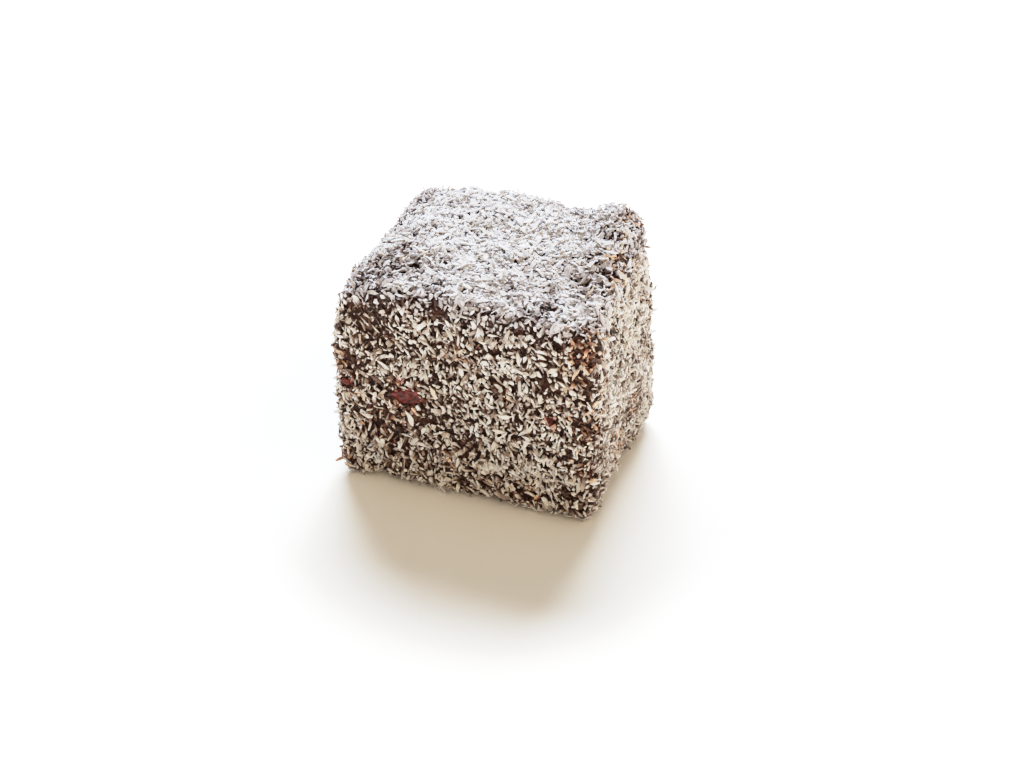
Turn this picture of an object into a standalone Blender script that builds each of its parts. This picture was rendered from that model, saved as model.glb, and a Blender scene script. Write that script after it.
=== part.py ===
"""A lamington: a block of sponge cake, dipped in thin chocolate icing and rolled in desiccated coconut.

The whole coated cake is one solid, because it is uncut and holds together when picked up. Its surface is the
middle of the coconut layer. The block was cut by hand, so no two corners are alike: the top slopes down towards
the front, narrows towards the back right and is drawn up into an ear there.

X runs along the broad front, +Y goes to the back, and the cake stands on Z = 0 with the origin below its middle.
"""

import math

import bmesh
import bpy
from mathutils import Vector, noise

MM = 0.001

# Driving dimensions: the block before its corners are shifted
WIDTH = 56.0 * MM
DEPTH = 45.0 * MM
HEIGHT = 47.5 * MM
EDGE_RADIUS = 3.6 * MM

# How far the knife and the icing left each corner off a true box: {(x side, y side, z side): shift}
CORNER_SHIFTS = {
    (-1, -1, -1): Vector((-0.2, 0.3, 0.0)) * MM,
    (1, -1, -1): Vector((0.4, 1.2, 0.0)) * MM,
    (-1, 1, -1): Vector((0.0, -0.3, 0.0)) * MM,
    (1, 1, -1): Vector((0.2, -0.3, 0.0)) * MM,
    (-1, -1, 1): Vector((0.8, -0.5, -1.8)) * MM,
    (1, -1, 1): Vector((0.0, -0.8, -1.3)) * MM,
    (-1, 1, 1): Vector((0.5, 0.4, 0.3)) * MM,
    (1, 1, 1): Vector((-3.6, 0.0, 1.1)) * MM,
}

SIDE_BELLY = 1.3 * MM  # how far the two narrow sides swell at half height
TOP_CROWN = 2.5 * MM  # how far the sponge rose along the middle of the top
EAR_RISE = 4.7 * MM  # the ear at the top's back right corner
EAR_PLACE = 0.84  # where it is across the top, as a share of half the width
EAR_SPREAD = 0.22  # how broad it is, in the same shares

LUMP_HEIGHT = 0.8 * MM  # crumbs under the coating
LUMP_SIZE = 8.0 * MM
LUMP_PLACE = Vector((17.5, 22.5, 11.3))  # which stretch of the noise the lumps come from
LUMP_FREE_HEIGHT = 6.0 * MM  # the base is pressed flat, and the lumps grow to full height this far above it

FACE_ROWS = 22  # rows of faces along each edge of the block
ROW_EASE = 0.8  # from 0, even rows, to 1, rows crowded towards the edges

COAT_COLOUR = (0.43, 0.38, 0.34, 1.0)  # coconut with chocolate showing between its shreds
COAT_ROUGHNESS = 0.85


def clear_scene():
    for thing in list(bpy.data.objects):
        bpy.data.objects.remove(thing)


def coat_material():
    """The coat's own colour and finish."""
    material = bpy.data.materials.new("coconut_coat")
    material.use_nodes = True
    surface = material.node_tree.nodes["Principled BSDF"]
    surface.inputs["Base Color"].default_value = COAT_COLOUR
    surface.inputs["Roughness"].default_value = COAT_ROUGHNESS
    surface.inputs["Metallic"].default_value = 0.0
    return material


def eased(share):
    """A row's place from -1 to 1, moved towards the nearer edge, so that the round edges get more rows."""
    quarter_turn = math.pi / 2 * ROW_EASE
    return math.sin(share * quarter_turn) / math.sin(quarter_turn)


def block_grid():
    """A cube from -1 to 1, cut into rows of faces."""
    grid = bmesh.new()
    bmesh.ops.create_cube(grid, size=2.0)
    bmesh.ops.subdivide_edges(grid, edges=grid.edges[:], cuts=FACE_ROWS - 1, use_grid_fill=True)
    for vert in grid.verts:
        vert.co = Vector(eased(share) for share in vert.co)
    return grid


def rounded(shares, half):
    """The point of the true box at these shares of its half sizes, with every edge rounded."""
    point = Vector(share * size for share, size in zip(shares, half))
    core = Vector(
        max(EDGE_RADIUS - size, min(size - EDGE_RADIUS, along)) for along, size in zip(point, half)
    )
    outward = point - core
    if outward.length > EDGE_RADIUS:
        outward = outward.normalized() * EDGE_RADIUS
    return core + outward


def corner_shift(across, back, up):
    """What the eight corners' shifts come to at this place, blended evenly between them."""
    total = Vector((0.0, 0.0, 0.0))
    for (side_x, side_y, side_z), shift in CORNER_SHIFTS.items():
        share = (1 + side_x * across) * (1 + side_y * back) * (1 + side_z * up) / 8
        total += shift * share
    return total


def risen(across, back, up):
    """How the sponge swelled at the sides and rose at the top, as a shift."""
    belly = SIDE_BELLY * across * (1 - up * up)
    crown = TOP_CROWN * (1 - across * across)
    ear = EAR_RISE * math.exp(-(((across - EAR_PLACE) / EAR_SPREAD) ** 2)) * max(back, 0.0)
    return Vector((belly, 0.0, (crown + ear) * max(up, 0.0)))


def lumpiness(point):
    """How far the crumbs under the coating push the surface out here, or in."""
    place = point / LUMP_SIZE + LUMP_PLACE
    coarse = noise.noise(place)
    fine = noise.noise(place * 2.0)
    free = min(1.0, point.z / LUMP_FREE_HEIGHT)
    return LUMP_HEIGHT * (coarse + 0.5 * fine) * free


def cake_mesh():
    grid = block_grid()
    half = Vector((WIDTH, DEPTH, HEIGHT)) / 2
    for vert in grid.verts:
        point = rounded(vert.co, half)
        shares = [along / size for along, size in zip(point, half)]
        vert.co = point + corner_shift(*shares) + risen(*shares) + Vector((0.0, 0.0, half.z))
    grid.normal_update()
    pushed = [vert.co + vert.normal * lumpiness(vert.co) for vert in grid.verts]
    for vert, place in zip(grid.verts, pushed):
        vert.co = place
    bmesh.ops.recalc_face_normals(grid, faces=grid.faces[:])
    return grid


def centre_on_origin(grid):
    """Puts the middle of the block's box above the origin, with its base on Z = 0."""
    low = Vector(min(vert.co[axis] for vert in grid.verts) for axis in range(3))
    high = Vector(max(vert.co[axis] for vert in grid.verts) for axis in range(3))
    middle = (low + high) / 2
    bmesh.ops.translate(grid, verts=grid.verts[:], vec=(-middle.x, -middle.y, -low.z))


def make_cake():
    grid = cake_mesh()
    centre_on_origin(grid)
    mesh = bpy.data.meshes.new("lamington")
    grid.to_mesh(mesh)
    grid.free()
    mesh.shade_smooth()
    mesh.materials.append(coat_material())
    cake = bpy.data.objects.new("lamington", mesh)
    bpy.context.scene.collection.objects.link(cake)
    return cake


def main():
    clear_scene()
    make_cake()


main()
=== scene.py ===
# %% [markdown]
# # A lamington, in cells
#
# A lamington is a block of sponge cake, dipped in thin chocolate icing and rolled in desiccated
# coconut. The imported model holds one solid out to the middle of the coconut. Here that solid becomes
# two things: a core of set icing a little inside it, and thousands of loose coconut shreds laid on
# the core, each one a small closed mesh at its true size.
#
# Everything is in metres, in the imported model's own frame: X runs along the broad front, +Y goes to
# the back, Z is up, and the cake stands on Z = 0.

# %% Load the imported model
import math

import bmesh
import bpy
import numpy as np
from mathutils import Matrix, Vector, kdtree, noise


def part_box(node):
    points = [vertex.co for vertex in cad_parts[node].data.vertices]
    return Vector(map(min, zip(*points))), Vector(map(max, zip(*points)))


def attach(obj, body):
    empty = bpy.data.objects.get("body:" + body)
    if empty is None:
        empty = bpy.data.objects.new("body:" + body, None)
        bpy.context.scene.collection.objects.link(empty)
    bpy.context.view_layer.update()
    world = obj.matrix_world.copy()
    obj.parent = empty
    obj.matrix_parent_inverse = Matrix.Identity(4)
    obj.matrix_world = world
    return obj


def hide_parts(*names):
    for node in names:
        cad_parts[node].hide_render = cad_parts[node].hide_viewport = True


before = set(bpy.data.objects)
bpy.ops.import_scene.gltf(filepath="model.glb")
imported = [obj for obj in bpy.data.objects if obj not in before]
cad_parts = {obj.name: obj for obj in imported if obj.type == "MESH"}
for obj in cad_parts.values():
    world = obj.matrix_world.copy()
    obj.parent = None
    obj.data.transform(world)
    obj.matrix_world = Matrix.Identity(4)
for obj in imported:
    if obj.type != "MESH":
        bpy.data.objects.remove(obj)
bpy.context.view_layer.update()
MM = 0.001
SEED = 11
low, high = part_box("lamington")
middle = (low + high) / 2
half_size = (high - low) / 2
print("cake box in mm:", [round(size / MM, 1) for size in high - low])

# %% [markdown]
# ## The camera
#
# The camera stands to the right of the front and looks down on the cake. It is placed the way a
# photographer would say it: how far round, how high, how far off, and what it looks at. A long lens
# keeps the block's edges nearly parallel.

# %% Camera
VIEW_ROUND = math.radians(21.1)
VIEW_UP = math.radians(34.1)
VIEW_DISTANCE = 395 * MM
VIEW_AIM = Vector((-0.3, 8.2, 11.1)) * MM
LENS_MM = 63.3


def towards(around, up):
    """The unit vector from the cake to something this far round from the front and this far up."""
    return Vector((math.sin(around) * math.cos(up), -math.cos(around) * math.cos(up), math.sin(up)))


def turned_to_look_along(direction):
    """The rotation of a camera or light that points along this direction."""
    return direction.to_track_quat("-Z", "Y").to_euler()


camera = bpy.data.objects.new("camera", bpy.data.cameras.new("camera"))
camera.data.lens = LENS_MM
camera.data.clip_start = 10 * MM
camera.location = VIEW_AIM + towards(VIEW_ROUND, VIEW_UP) * VIEW_DISTANCE
camera.rotation_euler = turned_to_look_along(-towards(VIEW_ROUND, VIEW_UP))
bpy.context.scene.collection.objects.link(camera)
bpy.context.scene.camera = camera
bpy.context.scene.view_settings.view_transform = "Standard"
print("camera at", [round(along / MM) for along in camera.location], "mm")

# %% [markdown]
# A camera doesn't cut its brightest tones off at once: it squeezes them together below white. This
# curve does the same, so white coconut keeps its shapes under a strong light. Tones up to a half
# stay nearly as they are, the brighter ones are held down more and more, and only what is well over
# white comes out as white.

# %% The camera's tones
# Each pair: a tone in the scene and the tone it gets in the picture
TONES = [(0.1, 0.092), (0.25, 0.25), (0.5, 0.51), (0.75, 0.715), (1.0, 0.83), (1.3, 0.91), (1.5, 0.965)]
WHITE = 1.75
ALL_COLOURS = 3


def bend_tones(tones, white):
    """Gives the view a curve through these (scene tone, picture tone) pairs, up to white."""
    view = bpy.context.scene.view_settings
    view.use_curve_mapping = True
    mapping = view.curve_mapping
    mapping.white_level = (white, white, white)
    for scene_tone, picture_tone in tones:
        mapping.curves[ALL_COLOURS].points.new(scene_tone / white, picture_tone)
    mapping.update()


bend_tones(TONES, WHITE)

# %% [markdown]
# ## Light and floor
#
# A cool, wide light stands behind the cake, so the top is bright, the front is in shade, and a soft
# shadow falls towards the camera. A weaker warm light from the front right opens the shade and makes
# the coconut there look creamy. Both are suns with a large angle, because only the direction and the
# softness matter here. The world adds a little grey light from all round.

# %% Lights
KEY = {"around": math.radians(199), "up": math.radians(42), "angle": math.radians(39)}
KEY_COLOUR = (0.81, 0.90, 1.0)
KEY_STRENGTH = 7.1
FILL = {"around": math.radians(45), "up": math.radians(32), "angle": math.radians(90)}
FILL_COLOUR = (1.0, 0.72, 0.40)
FILL_STRENGTH = 1.85
WORLD_COLOUR = (0.286, 0.30, 0.30, 1.0)


def add_sun(name, place, colour, strength):
    """A sun that shines on the cake from this place."""
    sun = bpy.data.lights.new(name, "SUN")
    sun.color = colour
    sun.energy = strength
    sun.angle = place["angle"]
    thing = bpy.data.objects.new(name, sun)
    thing.rotation_euler = turned_to_look_along(-towards(place["around"], place["up"]))
    bpy.context.scene.collection.objects.link(thing)


add_sun("key_light", KEY, KEY_COLOUR, KEY_STRENGTH)
add_sun("fill_light", FILL, FILL_COLOUR, FILL_STRENGTH)
world = bpy.data.worlds.new("studio")
world.use_nodes = True
world.node_tree.nodes["Background"].inputs["Color"].default_value = WORLD_COLOUR
bpy.context.scene.world = world

# %% [markdown]
# The floor is white paper. The cake stands in the soft shade of its own, and away from it the paper
# is lit from beyond the picture until it is plain white. A glow that grows with the distance from
# the cake does that.

# %% Floor
FLOOR_SIZE = 3.0
FLOOR_COLOUR = (0.93, 0.92, 0.90, 1.0)
GLOW_STARTS = 52 * MM
GLOW_FULL = 104 * MM
GLOW = 1.6


def plain_material(name, roughness):
    """A material with one Principled BSDF, its nodes ready for more."""
    material = bpy.data.materials.new(name)
    material.use_nodes = True
    material.node_tree.nodes["Principled BSDF"].inputs["Roughness"].default_value = roughness
    return material


def object_from_bmesh(bm, name):
    """Turns a bmesh into a linked object at the origin."""
    mesh = bpy.data.meshes.new(name)
    bm.to_mesh(mesh)
    bm.free()
    thing = bpy.data.objects.new(name, mesh)
    bpy.context.scene.collection.objects.link(thing)
    return thing


floor_shape = bmesh.new()
bmesh.ops.create_grid(floor_shape, x_segments=1, y_segments=1, size=FLOOR_SIZE / 2)
floor = object_from_bmesh(floor_shape, "floor")
floor_finish = plain_material("floor_paper", 0.9)
floor_surface = floor_finish.node_tree.nodes["Principled BSDF"]
floor_surface.inputs["Base Color"].default_value = FLOOR_COLOUR
floor_surface.inputs["Specular IOR Level"].default_value = 0.0
floor_surface.inputs["Emission Color"].default_value = (1.0, 1.0, 1.0, 1.0)
floor_places = floor_finish.node_tree.nodes.new("ShaderNodeTexCoord")
distance = floor_finish.node_tree.nodes.new("ShaderNodeVectorMath")
distance.operation = "LENGTH"
glow = floor_finish.node_tree.nodes.new("ShaderNodeMapRange")
glow.interpolation_type = "SMOOTHSTEP"
glow.inputs["From Min"].default_value = GLOW_STARTS
glow.inputs["From Max"].default_value = GLOW_FULL
glow.inputs["To Max"].default_value = GLOW
floor_finish.node_tree.links.new(floor_places.outputs["Object"], distance.inputs[0])
floor_finish.node_tree.links.new(distance.outputs["Value"], glow.inputs["Value"])
floor_finish.node_tree.links.new(glow.outputs["Result"], floor_surface.inputs["Emission Strength"])
floor.data.materials.append(floor_finish)

# %% [markdown]
# ## The icing core
#
# Under the coconut the sponge is sealed by thin icing that has soaked in and set, so its surface is
# lumpy with crumbs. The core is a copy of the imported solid. A voxel remesh gives it even faces of
# about half a millimetre, and then every vertex moves inwards by the thickness of the coat, a little
# more or less where the crumbs are. Moving vertices works better here than a Displace modifier,
# because the coconut has to know where the surface is.
#
# The bottom edge is where the cake was set down: it is eased in a little all round, and a few
# knobs and bites make it ragged. A spot's place is given in shares of half the cake's size, from -1
# to 1. Its reach follows, and then how much it adds.

# %% Even faces over the cake
CORE_VOXEL = 0.47 * MM
COAT_DEPTH = 1.0 * MM
BASE_DEPTH = 0.55 * MM


def remeshed_copy(source, name, voxel):
    """A closed copy of an object's mesh with even faces."""
    merged = bmesh.new()
    merged.from_mesh(source.data)
    bmesh.ops.remove_doubles(merged, verts=merged.verts[:], dist=0.001 * MM)
    rough = object_from_bmesh(merged, name + "_rough")
    remesh = rough.modifiers.new("even_faces", "REMESH")
    remesh.mode = "VOXEL"
    remesh.voxel_size = voxel
    evaluated = rough.evaluated_get(bpy.context.evaluated_depsgraph_get())
    mesh = bpy.data.meshes.new_from_object(evaluated)
    mesh.name = name
    bpy.data.objects.remove(rough)
    thing = bpy.data.objects.new(name, mesh)
    bpy.context.scene.collection.objects.link(thing)
    return thing


core = remeshed_copy(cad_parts["lamington"], "icing_core", CORE_VOXEL)
print("core faces:", len(core.data.polygons))

# %% Push the icing in under the coconut
NOISE_ROUGHNESS = 0.6
CRUMB_LUMP = 0.45 * MM
CRUMB_SIZE = 3.2 * MM
UNDERCUT = 0.8 * MM
UNDERCUT_HEIGHT = 2.2 * MM

# Each row: x share, y share, z share, reach in mm, mm outwards
KNOBS = [
    (-0.62, -1.0, -0.97, 3.0, -1.4),
    (-0.80, -1.0, -0.97, 2.5, 0.8),
    (-0.38, -1.0, -0.99, 2.5, -0.9),
    (-0.08, -1.0, -0.99, 2.6, 0.7),
    (0.20, -1.0, -0.99, 4.0, -0.9),
    (0.78, -1.0, -0.99, 2.5, -0.5),
    (1.0, -0.35, -0.90, 4.5, -1.5),
    (1.0, 0.10, -0.85, 5.0, -1.8),
    (-0.92, -0.95, -0.97, 2.2, 0.6),
    (-0.93, 0.93, 0.97, 2.5, 0.5),
]


def vertex_array(mesh, what):
    """The mesh's vertex places or normals as rows of three numbers."""
    values = np.zeros(len(mesh.vertices) * 3, np.float32)
    if what == "co":
        mesh.vertices.foreach_get("co", values)
    else:
        mesh.vertex_normals.foreach_get("vector", values)
    return values.reshape(-1, 3).astype(float)


def lump_noise(places, size, octaves=3):
    """Soft noise from about -1 to 1 at each place, with lumps of this size."""
    shift = Vector((31.0, 17.0, 5.0))
    return np.array([
        noise.fractal(Vector(place) / size + shift, NOISE_ROUGHNESS, 2.0, octaves) for place in places
    ])


def place_on_cake(across, back, up):
    """The point at these shares of half the cake's size, from its middle."""
    return np.array(middle) + np.array((across, back, up)) * np.array(half_size)


def spot_sum(places, spots):
    """What the spots add at each place, fading out over each spot's reach."""
    total = np.zeros(len(places))
    for across, back, up, reach, change in spots:
        centre = place_on_cake(across, back, up)
        far = np.linalg.norm(places - centre, axis=1) / (reach * MM)
        total += change * np.exp(-far * far)
    return total


outer = vertex_array(core.data, "co")
outward = vertex_array(core.data, "normal")
depth = COAT_DEPTH - CRUMB_LUMP * lump_noise(outer, CRUMB_SIZE) - spot_sum(outer, KNOBS) * MM
sideways = 1 - outward[:, 2] ** 2
depth += UNDERCUT * sideways * np.exp(-((outer[:, 2] / UNDERCUT_HEIGHT) ** 2))
inner = outer - outward * depth[:, None]
inner[:, 2] = np.maximum(inner[:, 2], BASE_DEPTH)
core.data.vertices.foreach_set("co", inner.astype(np.float32).ravel())
core.data.update()
core.data.shade_smooth()
print("icing depth in mm:", round(depth.min() / MM, 2), "to", round(depth.max() / MM, 2))

# %% [markdown]
# ## How much coconut lies where
#
# The cake was rolled by hand, so the coconut is thick in some places and thin in others. One number
# for each vertex of the core says how much lies there: about 1 for the usual coat, near 0 where the
# icing is bare, and 2 in a heap. It starts from the side it is on and soft noise, and then each
# listed spot adds its own, written like the knobs. Where the coat is thick the pieces lie flatter and
# cleaner, so a second number says how thick, from 0 to 1.

# %% Bare spots
# Each row: x share, y share, z share, reach in mm, change
BARE_SPOTS = [
    # Front
    (-0.75, -1.0, 0.55, 3.5, -0.7),
    (-0.66, -1.0, 0.40, 3.0, -0.6),
    (-0.52, -1.0, 0.28, 3.0, -0.6),
    (-0.58, -1.0, -0.44, 4.0, -0.8),
    (-0.44, -1.0, -0.55, 2.5, -0.7),
    (0.0, -1.0, -0.30, 3.0, -0.7),
    (-0.27, -1.0, -0.28, 2.5, -0.7),
    (-0.80, -1.0, 0.13, 2.5, -0.6),
    (0.27, -1.0, 0.75, 3.0, -0.6),
    (-0.17, -1.0, 0.75, 3.0, -0.6),
    (0.40, -1.0, -0.82, 4.0, -0.9),
    (0.80, -1.0, -0.70, 2.5, -0.7),
    (0.88, -1.0, 0.72, 2.2, -0.6),
    (0.90, -1.0, 0.55, 2.2, -0.6),
    (0.87, -1.0, 0.38, 2.2, -0.6),
    (0.40, -1.0, 0.78, 2.5, -0.5),
    (0.62, -1.0, -0.88, 2.5, -0.6),
    (-0.51, -1.0, -0.09, 1.6, -0.9),
    (-0.41, -1.0, -0.12, 1.9, -1.2),
    (-0.31, -1.0, -0.13, 1.6, -0.8),
    (-0.87, -1.0, -0.09, 1.3, -0.8),
    (0.67, -1.0, -0.04, 1.0, -0.8),
    # Right side
    (1.0, 0.34, 0.58, 3.0, -0.8),
    (1.0, -0.86, 0.5, 3.0, -0.6),
    (1.0, -0.26, -0.06, 1.6, -0.8),
    (1.0, 0.0, -0.47, 3.0, -0.8),
    (1.0, 0.34, -0.55, 2.5, -0.8),
    (1.0, -0.08, -0.74, 2.5, -0.8),
    (1.0, -0.77, -0.17, 3.5, -0.6),
    (1.0, -0.77, -0.70, 3.5, -0.6),
    # Top and edges
    (-0.64, -0.26, 0.9, 3.0, -0.8),
    (-0.46, -0.47, 0.9, 3.0, -0.9),
    (-0.70, -0.52, 0.85, 4.0, -0.7),
    (-0.82, -0.70, 0.8, 4.0, -0.7),
    (-0.27, -0.78, 0.85, 3.0, -0.9),
    (-0.34, -0.17, 0.95, 2.0, -0.8),
    (0.22, -0.22, 0.95, 2.0, -0.9),
    (0.71, -0.22, 0.9, 3.0, -0.9),
    (0.68, 0.43, 0.95, 3.0, -0.6),
    (0.78, 0.0, 0.9, 3.5, -0.5),
    (0.57, -0.73, 0.8, 3.0, -0.8),
    (-0.84, 0.78, 0.9, 2.0, -0.7),
]

# %% Heaps
# Rows as for the bare spots
HEAPS = [
    # Front
    (0.3, -1.0, 0.35, 7.0, 0.25),
    (-0.5, -1.0, 0.1, 4.0, 0.2),
    (0.45, -1.0, -0.6, 8.0, 0.45),
    (-0.6, -1.0, -0.6, 8.0, 0.12),
    (-0.95, -0.95, -0.97, 2.2, 1.6),
    # Top and edges
    (-0.25, 0.50, 1.0, 13.0, 1.0),
    (-0.02, 0.05, 1.0, 7.0, 0.7),
    (-0.35, 0.1, 1.0, 5.0, 0.4),
    (0.2, -0.35, 1.0, 5.0, 0.3),
    (0.15, 0.45, 1.0, 5.0, 0.4),
    (0.6, 0.2, 1.0, 7.0, 0.2),
    (0.0, -0.75, 1.0, 7.0, 0.3),
]

# %% The amount of coconut
FACE_AMOUNT = {"top": 1.2, "front": 0.60, "right": 0.95, "left": 0.85, "back": 0.9, "under": 0.5}
PATCH_SIZE = 7.0 * MM
PATCH_CHANGE = 0.35
CLUMP_SIZE = 2.4 * MM
CLUMP_CHANGE = 0.45
LEAST_AMOUNT, MOST_AMOUNT = 0.18, 2.8
THICK_FROM = 0.9
THICK_OVER = 0.7


def face_amounts(normals):
    """The usual amount for the side each normal faces, blended round the edges."""
    facing = {
        "top": normals[:, 2], "under": -normals[:, 2], "right": normals[:, 0],
        "left": -normals[:, 0], "front": -normals[:, 1], "back": normals[:, 1],
    }
    weight = {side: np.clip(value, 0, 1) ** 2 for side, value in facing.items()}
    total = sum(weight.values())
    return sum(weight[side] * FACE_AMOUNT[side] for side in facing) / total


amount = face_amounts(outward) + PATCH_CHANGE * lump_noise(outer, PATCH_SIZE, 2)
amount += CLUMP_CHANGE * lump_noise(outer, CLUMP_SIZE, 1)
amount = np.clip(amount + spot_sum(outer, BARE_SPOTS + HEAPS), LEAST_AMOUNT, MOST_AMOUNT)
thick = np.clip((amount - THICK_FROM) / THICK_OVER, 0, 1)
print("bare spots:", len(BARE_SPOTS), "heaps:", len(HEAPS))
print("coconut amount:", round(amount.min(), 2), "to", round(amount.max(), 2))

# %% [markdown]
# ## Shapes of coconut
#
# Desiccated coconut is grated and dried, so it comes as long slivers with slanted ends, short
# slivers, flat angular chips and crumbs. Each kind gets a few dozen different shapes, made at their
# real size with bmesh operators from a cube or a circle. A shape has only a few dozen faces, because
# it is repeated hundreds of times.

# %% Strips: long and short slivers
rng = np.random.default_rng(SEED)
CURL = 0.035
TWIST = 0.4
TIP_WIDTHS = (0.1, 0.95)
SIDE_WIDTHS = (0.55, 1.35)
SLANT = 0.05
KINK = 0.07
TAPER_POWER = 1.7
TIP_THICKNESS = 0.45


def shape_arrays(bm):
    """A shape's vertices and triangles as arrays. The bmesh is used up."""
    bmesh.ops.recalc_face_normals(bm, faces=bm.faces[:])
    bmesh.ops.triangulate(bm, faces=bm.faces[:])
    bm.verts.index_update()
    verts = np.array([vert.co[:] for vert in bm.verts])
    faces = np.array([[vert.index for vert in face.verts] for face in bm.faces])
    bm.free()
    return verts, faces


def sliver(length, width, thickness, segments):
    """A grated strip: uneven along both sides, narrower at its ends, a little curved and twisted."""
    bm = bmesh.new()
    bmesh.ops.create_cube(bm, size=1.0)
    along = [edge for edge in bm.edges if abs(edge.verts[0].co.x - edge.verts[1].co.x) > 0.5]
    bmesh.ops.subdivide_edges(bm, edges=along, cuts=segments - 1, use_grid_fill=True)
    sideways, upwards = rng.normal(0.0, CURL, 2)
    twist = rng.normal(0.0, TWIST)
    tips = rng.uniform(*TIP_WIDTHS, 2)
    sides = rng.uniform(*SIDE_WIDTHS, (2, segments + 1))
    slide = rng.normal(0.0, SLANT, (2, segments + 1)) * length
    drift = rng.normal(0.0, KINK, segments + 1) * width
    for vert in bm.verts:
        place = vert.co.x
        ring = round((place + 0.5) * segments)
        side = int(vert.co.y > 0)
        taper = 1 - (1 - tips[int(place > 0)]) * (2 * abs(place)) ** TAPER_POWER
        across = vert.co.y * width * sides[side][ring] * taper
        up = vert.co.z * thickness * (TIP_THICKNESS + (1 - TIP_THICKNESS) * taper)
        angle = twist * place
        bend = (4 * place * place - 0.33) * length
        vert.co.x = place * length + slide[side][ring]
        vert.co.y = across * math.cos(angle) - up * math.sin(angle) + sideways * bend
        vert.co.z = up * math.cos(angle) + across * math.sin(angle) + drift[ring] + upwards * bend
    return shape_arrays(bm)


# %% [markdown]
# A chip is a thin piece of the nut's flesh broken across its grain, so it is a flat shape with five
# uneven corners. A crumb is what breaks off: a cube with every corner moved.

# %% Chips and crumbs
CHIP_CORNERS = 5
CHIP_REACHES = (0.6, 1.15)
CHIP_FOLD = 0.25
CHIP_WAVE = 0.22
CHIP_WANDER = 0.05
CRUMB_WANDER = 0.13


def chip(length, width, thickness):
    """An angular flake with a fold, pushed up from a five-sided outline."""
    bm = bmesh.new()
    bmesh.ops.create_circle(bm, cap_ends=True, radius=0.5, segments=CHIP_CORNERS)
    fold_angle = rng.uniform(0, math.pi)
    fold = abs(rng.normal(0.0, CHIP_FOLD)) * width
    for vert in bm.verts:
        reach = rng.uniform(*CHIP_REACHES)
        beside = vert.co.x * math.sin(fold_angle) - vert.co.y * math.cos(fold_angle)
        vert.co = Vector((vert.co.x * length * reach, vert.co.y * width * reach, -2 * fold * abs(beside)))
    raised = bmesh.ops.extrude_face_region(bm, geom=bm.faces[:])
    lifted = [part for part in raised["geom"] if isinstance(part, bmesh.types.BMVert)]
    bmesh.ops.translate(bm, verts=lifted, vec=(0.0, 0.0, thickness))
    for vert in bm.verts:
        vert.co.z += -thickness / 2 + rng.normal(0.0, CHIP_WAVE) * thickness
        vert.co.x += rng.normal(0.0, CHIP_WANDER) * length
        vert.co.y += rng.normal(0.0, CHIP_WANDER) * width
    flats = [face for face in bm.faces if len(face.verts) == CHIP_CORNERS]
    bmesh.ops.poke(bm, faces=flats, offset=0.0)
    return shape_arrays(bm)


def crumb(length, width, thickness):
    """A grain: a cube with its corners moved."""
    bm = bmesh.new()
    bmesh.ops.create_cube(bm, size=1.0)
    for vert in bm.verts:
        vert.co = Vector(
            (along + rng.normal(0.0, CRUMB_WANDER)) * size
            for along, size in zip(vert.co, (length, width, thickness))
        )
    return shape_arrays(bm)


# %% [markdown]
# The kinds and their real sizes. The counts say how many of its pieces are tried: in the usual coat,
# in the wet bed under it, and as the dust that falls into the gaps of heaps. The three sizes are the
# usual length, width and thickness in millimetres. A single shape strays from them by up to so many
# spreads, smaller more than larger, as grated coconut is sieved.

# %% Kinds of coconut
SHAPES_PER_KIND = 30
KINDS = {
    "coconut_long": {
        "count": 6000, "bed": 0, "dust": 900, "sizes": (2.15, 0.68, 0.26),
        "make": lambda *size: sliver(*size, 3),
    },
    "coconut_short": {
        "count": 12500, "bed": 3000, "dust": 0, "sizes": (1.58, 0.58, 0.26),
        "make": lambda *size: sliver(*size, 2),
    },
    "coconut_chips": {
        "count": 17000, "bed": 0, "dust": 0, "sizes": (1.40, 0.92, 0.22), "make": chip,
    },
    "coconut_needles": {
        "count": 10000, "bed": 2200, "dust": 6500, "sizes": (1.10, 0.26, 0.18), "make": crumb,
    },
    "coconut_crumbs": {
        "count": 11500, "bed": 6500, "dust": 3500, "sizes": (0.56, 0.42, 0.26), "make": crumb,
    },
}
SIZE_SPREAD = (0.28, 0.25, 0.20)
SMALLEST, LARGEST = -1.8, 1.3


def make_shapes(kind):
    """A kind's different shapes, each with its length, width and thickness."""
    shapes = []
    for _ in range(SHAPES_PER_KIND):
        spread = 1 + np.clip(rng.normal(0.0, 1.0, 3), SMALLEST, LARGEST) * SIZE_SPREAD
        size = np.array(kind["sizes"]) * MM * spread
        verts, faces = kind["make"](*size)
        shapes.append({"verts": verts, "faces": faces, "size": size, "shares": verts / size})
    return shapes


for name, kind in KINDS.items():
    kind["shapes"] = make_shapes(kind)
    print(name, "faces in a shape:", len(kind["shapes"][0]["faces"]))

# %% [markdown]
# ## Laying the coconut down
#
# Pieces that are only scattered on a surface cut through each other. Here each one is laid as if it
# fell towards the cake: it looks at how high the coconut already stands under five points along its
# length, rests on the two highest that hold it up on either side of its middle, and then raises the
# heights it covers for the next. A few stand on end, stuck in the icing. That gives real crossings,
# with gaps between the pieces where the icing shows. Pieces lie looser where the coat is thin.
#
# What differs from side to side is written as three numbers: for the surface that faces left or
# right, the one that faces front or back, and the one that faces up or down.

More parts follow.
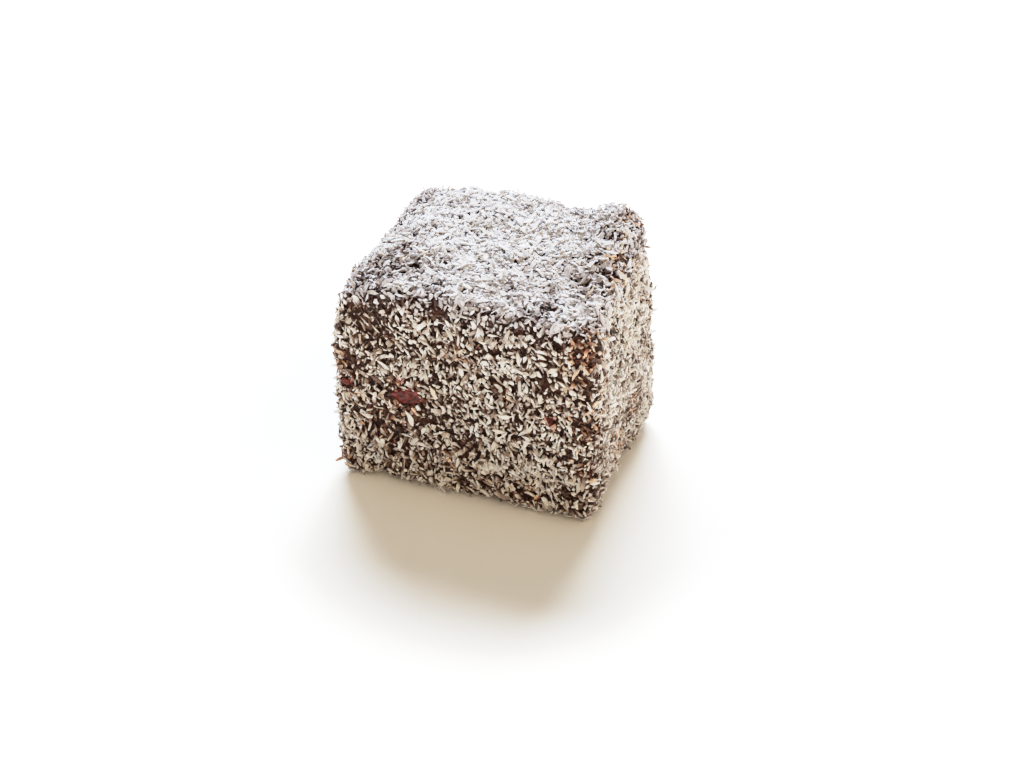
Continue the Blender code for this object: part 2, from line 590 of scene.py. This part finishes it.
# %% Tools for laying
SAMPLES = np.array((-0.42, -0.21, 0.0, 0.21, 0.42))
SCALE_SPREAD = 0.20
SINK = 0.10 * MM
HEAP_SINK = 0.20 * MM
PRESSED = 0.35
STEEPEST = 0.7
TILT_SPREAD = 0.25
ROLL_SPREAD = 0.40
FREE_ROLL_SHARE = 0.15
STANDING_SHARES = (0.25, 0.08, 0.18)
STANDING_SLOPES = (0.4, 1.3)
STANDING_LIFT = 0.22
HEIGHT_CAP = 0.95 * MM
HEAP_CAP = 0.75 * MM
CAP_SPREAD = (0.75, 1.1)
FLOOR_GAP = 0.05 * MM
MARGIN = 0.12 * MM

surface_tree = kdtree.KDTree(len(inner))
for index, place in enumerate(inner):
    surface_tree.insert(place, index)
surface_tree.balance()
piled = np.zeros(len(inner))


def resting_line(along, heights):
    """The height at the middle and the slope of a straight piece resting on these points."""
    best = (heights[2], (heights[4] - heights[0]) / (along[4] - along[0] + 1e-9))
    for left in (0, 1):
        for right in (3, 4):
            run = along[right] - along[left]
            slope = (heights[right] - heights[left]) / (run + 1e-9)
            at_middle = heights[left] - slope * along[left]
            if at_middle > best[0]:
                best = (at_middle, slope)
    return best


def side_directions(normals, angles):
    """For each normal, a direction along the surface, turned by its angle."""
    helper = np.where(np.abs(normals[:, 2:3]) < 0.9, (0.0, 0.0, 1.0), (1.0, 0.0, 0.0))
    first = np.cross(helper, normals)
    first /= np.linalg.norm(first, axis=1, keepdims=True)
    second = np.cross(normals, first)
    return first * np.cos(angles)[:, None] + second * np.sin(angles)[:, None]


# %% [markdown]
# Rolling leaves a grain in the coat: on the sides more pieces stand steeply than lie level, and on
# top more run slantwise. So each piece's heading is pulled a little towards the grain of its side.

# %% The grain
GRAIN = {"front": (0.3, 0.0, -0.95), "side": (0.0, 0.35, 0.6), "top": (0.35, 0.35, 0.0)}
GRAIN_PULL = 0.4


def pulled_to_grain(normals, headings):
    """Headings turned partly towards the grain of the side that each normal faces."""
    grain = np.zeros_like(headings)
    for name, along in (("side", 0), ("front", 1), ("top", 2)):
        grain += normals[:, along : along + 1] ** 2 * np.array(GRAIN[name])
    grain *= np.sign(np.sum(grain * headings, axis=1, keepdims=True))
    pulled = headings + GRAIN_PULL * grain
    pulled -= np.sum(pulled * normals, axis=1, keepdims=True) * normals
    return pulled / np.linalg.norm(pulled, axis=1, keepdims=True)


# %% Lay one piece
def lay(kind, spot, heading, cap, sinks):
    """Rests one piece at a vertex of the core and raises the heights it covers. None if it is full.

    A piece that sinks falls between its neighbours, as deep as the gap at its middle goes.
    """
    shape_number = rng.integers(SHAPES_PER_KIND)
    scale = math.exp(min(rng.normal(0.0, SCALE_SPREAD), SCALE_SPREAD))
    length, width, thickness = kind["shapes"][shape_number]["size"] * scale
    start, normal = inner[spot], outward[spot]
    nearest = [surface_tree.find(start + heading * (share * length))[1] for share in SAMPLES]
    heights = (inner[nearest] - start) @ normal + piled[nearest]
    height, slope = (piled[spot], 0.0) if sinks else resting_line(SAMPLES * length, heights)
    if height > cap * rng.uniform(*CAP_SPREAD):
        return None
    loose = 1 - PRESSED * thick[spot]
    slope = float(np.clip(slope, -STEEPEST, STEEPEST)) * loose + rng.normal(0.0, TILT_SPREAD * loose)
    above = height + thickness / 2 - rng.uniform(0, SINK + HEAP_SINK * thick[spot])
    standing = rng.random() < normal**2 @ STANDING_SHARES * loose
    if standing:
        rise = rng.uniform(*STANDING_SLOPES) * rng.choice((-1, 1))
        slope += rise
        above += abs(rise) / math.hypot(1, rise) * length * STANDING_LIFT
    direction = heading + normal * slope
    direction /= np.linalg.norm(direction)
    roll = rng.normal(0, ROLL_SPREAD * loose)
    if rng.random() < FREE_ROLL_SHARE * loose:
        roll = rng.uniform(-math.pi, math.pi)
    across = np.cross(normal, direction)
    across /= np.linalg.norm(across)
    upright = np.cross(direction, across)
    across, upright = (
        across * math.cos(roll) + upright * math.sin(roll),
        upright * math.cos(roll) - across * math.sin(roll),
    )
    covering = () if standing else SAMPLES
    for share in covering:
        under = start + heading * (share * length)
        top = above + slope * share * length + thickness / 2
        for _, found, _ in surface_tree.find_range(under, width / 2 + MARGIN):
            piled[found] = max(piled[found], top - (inner[found] - start) @ normal)
    return {
        "shape": kind["shapes"][shape_number], "centre": start + normal * above, "height": height,
        "axes": np.array((direction, across, upright)) * scale, "spot": spot,
    }


# %% [markdown]
# The first pieces go into wet icing all over the cake, most where it is nearly bare, and soak right
# through. The usual coat follows where the amounts say, all kinds mixed. Last, small dry pieces fall
# into the gaps where the coat is thick.

# %% Lay every piece
BED_CAP = 0.32 * MM
BED_FULL = 1.6
BED_LEAST = 0.4
GAP_SHARE = 1.2


def lay_all(counts, chances, caps, bedded=False, sinks=False):
    """Lays this many pieces of every kind in a mixed order, with the spots picked by chance."""
    order = np.repeat(list(KINDS), counts)
    rng.shuffle(order)
    spots = rng.choice(len(inner), size=len(order), p=chances / chances.sum())
    headings = side_directions(outward[spots], rng.uniform(0, 2 * math.pi, len(order)))
    headings = pulled_to_grain(outward[spots], headings)
    for name, spot, heading in zip(order, spots, headings):
        piece = lay(KINDS[name], spot, heading, caps[spot], sinks)
        if piece:
            laid[name].append({**piece, "bedded": bedded})


laid = {name: [] for name in KINDS}
bed_chances = np.clip(BED_FULL - amount, BED_LEAST, BED_FULL)
lay_all([kind["bed"] for kind in KINDS.values()], bed_chances, np.full(len(inner), BED_CAP), bedded=True)
print("bedded:", {name: len(pieces) for name, pieces in laid.items()})
caps = HEIGHT_CAP + HEAP_CAP * np.maximum(0.0, amount - 1)
lay_all([kind["count"] for kind in KINDS.values()], amount, caps)
print("laid:", {name: len(pieces) for name, pieces in laid.items()})
gaps = thick * np.clip(1 - GAP_SHARE * piled / caps, 0, 1) ** 2
lay_all([kind["dust"] for kind in KINDS.values()], gaps, caps, sinks=True)
print("with dust:", {name: len(pieces) for name, pieces in laid.items()})
print("coat height in mm: usual", round(float(np.median(piled)) / MM, 2), "most", round(piled.max() / MM, 2))

# %% [markdown]
# ## Stain
#
# Coconut drinks up wet icing. What lies deep or touches the icing turns tan or brown, and what lies
# on top stays white. Every vertex gets a soak from 0 to 1. Every piece gets a tint: cool white on the
# top, which is partly the drier coconut there and partly painted light, the cool light that falls on
# the top; warm, as on the sides that lay in the icing; stained orange by cocoa; or reddened by jam.
# Both go into a UV map, so the material can read them and one small picture of that map later holds
# all the colours. Each triangle is given a little width on the map, or nothing could be painted there.
#
# Where the coat is thick, light goes from piece to piece inside the heap, so a heap is shaded more
# like one soft surface than like thousands of facets. The pieces there get normals that lean partly
# towards the cake's own.

# %% How far each piece is soaked
MAP_NAME = "OFBake"
MAP_STEP = 0.012
LEANS = (0.6, 0.3, 0.5)

# Where each tint is on the map, and the usual tint of each side
WARM, STAINED, REDDENED = 0.6, 0.85, 1.0
LEAST_STAINED, LEAST_REDDENED = 0.68, 0.90
# Cool on the top is partly painted light: the tint of the cool light that falls from above
TINTS = (0.43, 0.50, 0.04)
TINT_SPREAD = 0.08
# The sides cool off over the last few millimetres below the top: partly drier coconut, partly painted light,
# the top's cool light reaching over the edges
COOL_FROM = 49.0 * MM
COOL_FADE = 7.0 * MM
LEAST_WARMTH = 0.1

# What adds to a piece's soak: an uneven end, its underside, the bed, chance, stain, damp and touch
WETTEST = 1.1
END_SOAK = 0.35
# Under each piece: partly a real stain where it touched the icing and partly painted shade, a dark lower
# edge like the shade between pieces
UNDERSIDE_STAIN_AND_SHADE = 0.35
BED_SOAK = (0.62, 1.0)
CLEANER_BED = 0.8
CHANCE_SOAK = 0.40
CHANCE_SHAPE = (1.0, 2.8)
STAIN_SOAK = 0.45
DAMP_SIZE = 2.6 * MM
DAMP_CHANGE = 0.4
DAMP_SHIFT = 0.1
DAMP_SOAK = (0.3, 1.0)
SOAK_DEPTH = 0.40 * MM
TOUCH_SOAK = (0.1, 0.9)

# %% Stained and reddened spots
# Each row: x share, y share, z share, reach in mm, share of the pieces there
STAIN_SPOTS = [
    # Front
    (0.9, -1.0, 0.3, 5.0, 0.4),
    (0.32, -1.0, 0.07, 2.0, 0.45),
    (0.03, -1.0, 0.37, 3.0, 0.3),
    (-0.08, -1.0, -0.60, 2.2, 0.6),
    (-0.86, -1.0, -0.1, 3.0, 0.4),
    (-0.58, -1.0, -0.44, 4.0, 0.3),
    (0.45, -1.0, -0.8, 3.5, 0.5),
    (0.9, -1.0, 0.65, 4.0, 0.5),
    (0.97, -0.95, -0.1, 4.0, 0.35),
    (0.95, -1.0, -0.45, 3.5, 0.35),
    (-0.41, -1.0, -0.10, 4.5, 0.5),
    # Right side
    (1.0, 0.0, 0.85, 4.0, 0.4),
    (0.95, -0.9, 0.6, 4.0, 0.5),
    (1.0, -0.26, -0.58, 4.0, 0.55),
    (1.0, 0.2, -0.45, 3.0, 0.5),
    # Top and edges
    (0.10, -0.34, 1.0, 1.5, 0.5),
    (0.17, 0.19, 1.0, 1.8, 0.35),
    (-0.68, 0.34, 1.0, 2.5, 0.25),
    (0.80, 0.80, 1.0, 3.0, 0.5),
    (0.86, 0.20, 0.9, 4.0, 0.5),
    (-0.9, -0.9, -0.85, 3.0, 0.5),
    (-0.92, -0.92, 0.1, 3.5, 0.5),
    (-0.45, -0.22, 1.0, 3.0, 0.4),
    (-0.62, -0.30, 1.0, 2.5, 0.4),
    (-0.95, 0.95, 0.95, 2.5, 0.6),
    (0.9, 0.9, 1.0, 3.5, 0.5),
]

# Rows as for the stained spots
RED_SPOTS = [
    (-0.41, -1.0, -0.10, 3.0, 0.8),
    (-0.86, -1.0, -0.08, 1.6, 0.8),
    (0.67, -1.0, -0.04, 1.6, 0.8),
]

# %% Soak and tint
stain = np.clip(spot_sum(outer, STAIN_SPOTS), 0, 1)
red = np.clip(spot_sum(outer, RED_SPOTS), 0, 1)
leans = thick * (outward**2 @ LEANS)
# Painted light in part: the tint turns cool where a surface faces up into the cool light and near the top
# edges
warmth = outward**2 @ TINTS * np.clip((COOL_FROM - outer[:, 2]) / COOL_FADE, LEAST_WARMTH, 1)
damp = np.clip(DAMP_CHANGE * lump_noise(outer + DAMP_SHIFT, DAMP_SIZE, 2) * (1 - thick), 0, 1)


def soaks_of(piece, turned):
    """How far each vertex of a laid piece is soaked, from 0 to 1."""
    spot, shares = piece["spot"], piece["shape"]["shares"]
    wet = WETTEST - thick[spot]
    soak = wet * rng.normal(0.0, END_SOAK) * shares[:, 0]
    # The underside is darkened: partly stain from the icing, partly painted shade along each piece's lower
    # edge
    soak += wet * rng.uniform(0.0, UNDERSIDE_STAIN_AND_SHADE) * np.clip(-2 * shares[:, 2], 0, 1)
    if piece["bedded"]:
        soak += rng.uniform(*BED_SOAK) * (1 - CLEANER_BED * thick[spot])
        return np.clip(soak, 0, 1)
    soak += CHANCE_SOAK * rng.beta(*CHANCE_SHAPE) * wet + STAIN_SOAK * stain[spot] * rng.random()
    soak += damp[spot] * rng.uniform(*DAMP_SOAK)
    level = piece["height"] + turned @ outward[spot]
    touch = np.exp(-np.maximum(level, 0) / SOAK_DEPTH)
    soak += touch * rng.uniform(*TOUCH_SOAK) * min(1.0, wet)
    return np.clip(soak, 0, 1)


def tint_of(spot):
    """One tint for a piece that lies here."""
    tint = np.clip(warmth[spot] + rng.normal(0.0, TINT_SPREAD), 0, WARM)
    if rng.random() < stain[spot]:
        tint = rng.uniform(LEAST_STAINED, STAINED)
    if rng.random() < red[spot]:
        tint = rng.uniform(LEAST_REDDENED, REDDENED)
    return tint


def map_places(soaks, tint):
    """Where a piece's triangles lie on the map, for every corner."""
    flat = np.empty(soaks.shape + (2,))
    flat[..., 0] = soaks * (1 - 2 * MAP_STEP) + np.array((0, MAP_STEP, 0))
    flat[..., 1] = tint * (1 - 2 * MAP_STEP) + np.array((0, 0, MAP_STEP))
    return flat.reshape(-1, 2)


# %% [markdown]
# There are tens of thousands of pieces, too many to move one by one with bmesh operators. Each is a
# copy of a shape made above, so numpy turns and moves its corners, and they go into one mesh for
# each kind. A piece that would pass through the floor is lifted above it.

# %% Join the pieces of each kind
def leaning_normals(triangles, aim, share):
    """The normals of a piece's triangles, turned partly towards one direction, for every corner."""
    normals = np.cross(triangles[:, 1] - triangles[:, 0], triangles[:, 2] - triangles[:, 0])
    normals /= np.linalg.norm(normals, axis=1, keepdims=True)
    normals = normals * (1 - share) + aim * share
    normals /= np.linalg.norm(normals, axis=1, keepdims=True)
    return np.repeat(normals, 3, axis=0)


def mesh_from_arrays(name, verts, faces, maps, normals):
    """An object of loose triangles with a map place and a normal for every corner."""
    mesh = bpy.data.meshes.new(name)
    mesh.vertices.add(len(verts))
    mesh.vertices.foreach_set("co", verts.astype(np.float32).ravel())
    mesh.loops.add(faces.size)
    mesh.loops.foreach_set("vertex_index", faces.astype(np.int32).ravel())
    mesh.polygons.add(len(faces))
    mesh.polygons.foreach_set("loop_start", np.arange(0, faces.size, 3, dtype=np.int32))
    layer = mesh.uv_layers.new(name=MAP_NAME)
    mesh.update(calc_edges=True)
    mesh.shade_smooth()
    layer.uv.foreach_set("vector", maps.astype(np.float32).ravel())
    mesh.validate()
    mesh.normals_split_custom_set(normals.tolist())
    thing = bpy.data.objects.new(name, mesh)
    bpy.context.scene.collection.objects.link(thing)
    return thing


def joined_pieces(name, pieces):
    """One mesh of every piece of a kind, with its soak and tint in the UV map."""
    verts, faces, maps, normals = [], [], [], []
    first = 0
    for piece in pieces:
        spot, corners = piece["spot"], piece["shape"]["faces"]
        turned = piece["shape"]["verts"] @ piece["axes"]
        placed = piece["centre"] + turned
        placed[:, 2] += max(0.0, FLOOR_GAP - placed[:, 2].min())
        verts.append(placed)
        faces.append(corners + first)
        maps.append(map_places(soaks_of(piece, turned)[corners], tint_of(spot)))
        normals.append(leaning_normals(placed[corners], outward[spot], leans[spot]))
        first += len(placed)
    return mesh_from_arrays(name, *(np.concatenate(rows) for rows in (verts, faces, maps, normals)))


coconut = {name: joined_pieces(name, pieces) for name, pieces in laid.items()}
for name, thing in coconut.items():
    print(name, "triangles:", len(thing.data.polygons))

# %% [markdown]
# ## Jam
#
# A little red jam shows on the front, half buried in the coat: one smear and two small spots. Each
# is a flattened ball with its outline and skin moved by noise, pressed on the icing. They are joined
# into one piece.

# %% Jam smears
# Each row: x share, y share, z share, how far it rises to the right in degrees, then its half
# width, half height and half thickness in mm
JAM = [
    (-0.41, -1.0, -0.10, 14, 4.1, 2.0, 0.75),
    (-0.86, -1.0, -0.09, 0, 1.1, 0.8, 0.50),
    (0.67, -1.0, -0.04, 0, 0.9, 0.7, 0.45),
]
JAM_LIFT = 0.35 * MM
JAM_ROUGH = 0.35
JAM_WAVES = 1.6


def jam_smears(name):
    """All the jam as one mesh: flattened, uneven balls on the surface of the core."""
    bm = bmesh.new()
    for number, (across, back, up, rise, *halves) in enumerate(JAM):
        nearest = surface_tree.find(place_on_cake(across, back, up))[1]
        normal = Vector(outward[nearest])
        turn = (-normal).to_track_quat("Y", "Z").to_matrix()
        turn = turn @ Matrix.Rotation(-math.radians(rise), 3, "Y")
        ball = bmesh.ops.create_icosphere(bm, subdivisions=5, radius=1.0)
        for vert in ball["verts"]:
            seed = vert.co + Vector((number * 7.0, 3.0, 1.0))
            uneven = 1 + JAM_ROUGH * noise.fractal(seed * JAM_WAVES, 0.8, 2.0, 4)
            flat = Vector((vert.co.x * halves[0], vert.co.y * halves[2], vert.co.z * halves[1]))
            vert.co = turn @ (flat * uneven * MM) + Vector(inner[nearest]) + normal * JAM_LIFT
    return object_from_bmesh(bm, name)


jam = jam_smears("jam_smear")
jam.data.shade_smooth()
print("jam triangles:", len(jam.data.polygons))

# %% [markdown]
# ## Finishes
#
# Dried coconut is white, a little see-through and not shiny. Its colour is read from the two map
# values: each tint has a ramp from clean to soaked, and the tint mixes neighbouring ramps. Light
# that enters a thin shred leaves it again nearby, which is what subsurface scattering does.

# %% Coconut finish
# A Mix node's sockets for colours
MIX_FROM, MIX_TO, MIXED = 6, 7, 2

# Each pair: how soaked, from 0 to 1, and the colour there
CLEAN_TO_SOAKED = {
    # The cool ramp is bluer than the warm one and lilac where soaked: partly painted light, the cool light
    # that falls on the top and the lilac shade between its pieces
    "cool": [
        (0.0, (0.625, 0.615, 0.65)), (0.22, (0.56, 0.54, 0.57)), (0.42, (0.33, 0.285, 0.305)),
        (0.62, (0.13, 0.09, 0.09)), (1.0, (0.045, 0.022, 0.019)),
    ],
    "warm": [
        (0.0, (0.68, 0.65, 0.60)), (0.22, (0.61, 0.56, 0.495)), (0.42, (0.31, 0.23, 0.175)),
        (0.62, (0.14, 0.078, 0.050)), (1.0, (0.045, 0.019, 0.011)),
    ],
    "stained": [
        (0.0, (0.68, 0.55, 0.45)), (0.22, (0.61, 0.40, 0.27)), (0.42, (0.38, 0.18, 0.10)),
        (0.62, (0.17, 0.058, 0.032)), (1.0, (0.055, 0.015, 0.009)),
    ],
    "reddened": [
        (0.0, (0.53, 0.35, 0.32)), (0.22, (0.36, 0.155, 0.135)), (0.42, (0.18, 0.045, 0.038)),
        (0.62, (0.10, 0.020, 0.016)), (1.0, (0.05, 0.010, 0.008)),
    ],
}


def add_ramp(nodes, stops):
    """A colour ramp node with these stops."""
    ramp = nodes.new("ShaderNodeValToRGB")
    elements = ramp.color_ramp.elements
    for place, _ in stops[1:-1]:
        elements.new(place)
    for element, (place, colour) in zip(elements, stops):
        element.position = place
        element.color = (*colour, 1.0)
    return ramp


def coconut_material():
    """One finish for all the coconut, coloured from the map's soak and tint."""
    material = plain_material("coconut_flesh", 0.6)
    nodes, links = material.node_tree.nodes, material.node_tree.links
    surface = nodes["Principled BSDF"]
    surface.inputs["Subsurface Weight"].default_value = 0.5
    surface.inputs["Subsurface Radius"].default_value = (1.0, 0.85, 0.7)
    surface.inputs["Subsurface Scale"].default_value = 0.4 * MM
    surface.inputs["Specular IOR Level"].default_value = 0.2
    chart = nodes.new("ShaderNodeUVMap")
    chart.uv_map = MAP_NAME
    apart = nodes.new("ShaderNodeSeparateXYZ")
    links.new(chart.outputs["UV"], apart.inputs["Vector"])
    ramps = {}
    for tone, stops in CLEAN_TO_SOAKED.items():
        ramps[tone] = add_ramp(nodes, stops)
        links.new(apart.outputs["X"], ramps[tone].inputs["Fac"])
    colour = ramps["cool"].outputs["Color"]
    for tone, start, end in (
        ("warm", 0.0, WARM), ("stained", WARM, STAINED), ("reddened", STAINED, REDDENED)
    ):
        share = nodes.new("ShaderNodeMapRange")
        share.inputs["From Min"].default_value = start
        share.inputs["From Max"].default_value = end
        links.new(apart.outputs["Y"], share.inputs["Value"])
        mix = nodes.new("ShaderNodeMix")
        mix.data_type = "RGBA"
        links.new(share.outputs["Result"], mix.inputs["Factor"])
        links.new(colour, mix.inputs[MIX_FROM])
        links.new(ramps[tone].outputs["Color"], mix.inputs[MIX_TO])
        colour = mix.outputs[MIXED]
    links.new(colour, surface.inputs["Base Color"])
    return material


coconut_finish = coconut_material()
for thing in coconut.values():
    thing.data.materials.append(coconut_finish)

# %% [markdown]
# The icing is dark chocolate set to a dull shine. Where it is thin, the sponge's crumbs make it
# redder and lighter, so noise mixes dark browns and changes the roughness with them.

# %% Icing finish
def icing_material():
    """Dark icing in uneven browns, with a fine bump and an uneven shine."""
    material = plain_material("chocolate_icing", 0.4)
    nodes, links = material.node_tree.nodes, material.node_tree.links
    surface = nodes["Principled BSDF"]
    surface.inputs["Specular IOR Level"].default_value = 0.12
    places = nodes.new("ShaderNodeTexCoord")
    patches = nodes.new("ShaderNodeTexNoise")
    patches.inputs["Scale"].default_value = 260.0
    patches.inputs["Detail"].default_value = 4.0
    links.new(places.outputs["Object"], patches.inputs["Vector"])
    colour = add_ramp(nodes, [
        (0.35, (0.014, 0.005, 0.003)), (0.55, (0.030, 0.010, 0.006)), (0.72, (0.065, 0.018, 0.009)),
    ])
    links.new(patches.outputs["Fac"], colour.inputs["Fac"])
    links.new(colour.outputs["Color"], surface.inputs["Base Color"])
    shine = nodes.new("ShaderNodeMapRange")
    shine.inputs["To Min"].default_value = 0.35
    shine.inputs["To Max"].default_value = 0.7
    links.new(patches.outputs["Fac"], shine.inputs["Value"])
    links.new(shine.outputs["Result"], surface.inputs["Roughness"])
    grain = nodes.new("ShaderNodeTexNoise")
    grain.inputs["Scale"].default_value = 1900.0
    grain.inputs["Detail"].default_value = 3.0
    links.new(places.outputs["Object"], grain.inputs["Vector"])
    bump = nodes.new("ShaderNodeBump")
    bump.inputs["Strength"].default_value = 0.8
    bump.inputs["Distance"].default_value = 0.25 * MM
    links.new(grain.outputs["Fac"], bump.inputs["Height"])
    links.new(bump.outputs["Normal"], surface.inputs["Normal"])
    return material


core.data.materials.clear()
core.data.materials.append(icing_material())

# %% [markdown]
# Jam is a clear dark red with a wet shine. Thicker parts look nearly black, so noise mixes dark
# reds, and its waves bend the skin.

# %% Jam finish
def jam_material():
    """Dark red jam, redder and nearly black by turns, with a wavy skin."""
    material = plain_material("red_jam", 0.3)
    nodes, links = material.node_tree.nodes, material.node_tree.links
    surface = nodes["Principled BSDF"]
    surface.inputs["Specular IOR Level"].default_value = 0.25
    places = nodes.new("ShaderNodeTexCoord")
    patches = nodes.new("ShaderNodeTexNoise")
    patches.inputs["Scale"].default_value = 900.0
    patches.inputs["Detail"].default_value = 3.0
    links.new(places.outputs["Object"], patches.inputs["Vector"])
    colour = add_ramp(nodes, [
        (0.35, (0.040, 0.007, 0.005)), (0.52, (0.10, 0.014, 0.009)), (0.72, (0.21, 0.035, 0.022)),
    ])
    links.new(patches.outputs["Fac"], colour.inputs["Fac"])
    links.new(colour.outputs["Color"], surface.inputs["Base Color"])
    bump = nodes.new("ShaderNodeBump")
    bump.inputs["Strength"].default_value = 0.6
    bump.inputs["Distance"].default_value = 0.2 * MM
    links.new(patches.outputs["Fac"], bump.inputs["Height"])
    links.new(bump.outputs["Normal"], surface.inputs["Normal"])
    return material


jam.data.materials.append(jam_material())

# %% [markdown]
# ## Ride on the body
#
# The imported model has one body. The core stands for its solid, and all pieces ride with it.

# %% Ride, replace and finish
pieces = [core, jam, *coconut.values()]
for piece in pieces:
    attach(piece, "root")
    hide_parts("lamington")
triangles = sum(len(polygon.vertices) - 2 for piece in pieces for polygon in piece.data.polygons)
print("pieces:", len(pieces), "triangles:", triangles)
